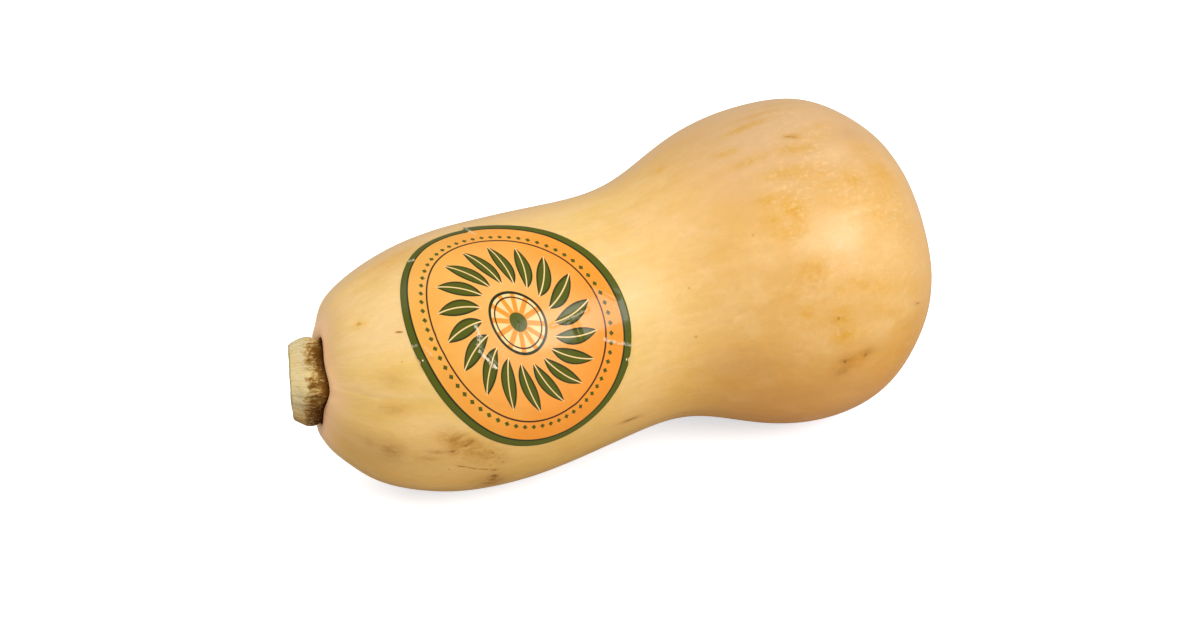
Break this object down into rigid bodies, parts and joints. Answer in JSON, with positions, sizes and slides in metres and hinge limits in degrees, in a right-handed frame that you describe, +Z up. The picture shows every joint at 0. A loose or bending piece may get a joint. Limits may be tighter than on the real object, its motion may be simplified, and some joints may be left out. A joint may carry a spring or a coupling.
{
  "type": "butternut squash",
  "caption": "Whole butternut squash lying on its side, with a slender neck, a rounded bulb, a short cut stem and an oval paper sticker on the neck.",
  "frame": {"origin": "middle of the bottom of the whole squash as it lies on a flat surface", "axes": "+Z up; the long axis runs along X, with the stem towards -X and the blossom end towards +X; the sticker faces -Y and up"},
  "size_m": [0.2256, 0.1116, 0.1112],
  "materials": {
    "skin": "satin",
    "stem_wood": "matte",
    "sticker_paper": "satin"
  },
  "bodies": {
    "root": {"fruit": "skin", "stem": "stem_wood", "sticker": "sticker_paper"}
  },
  "joints": []
}
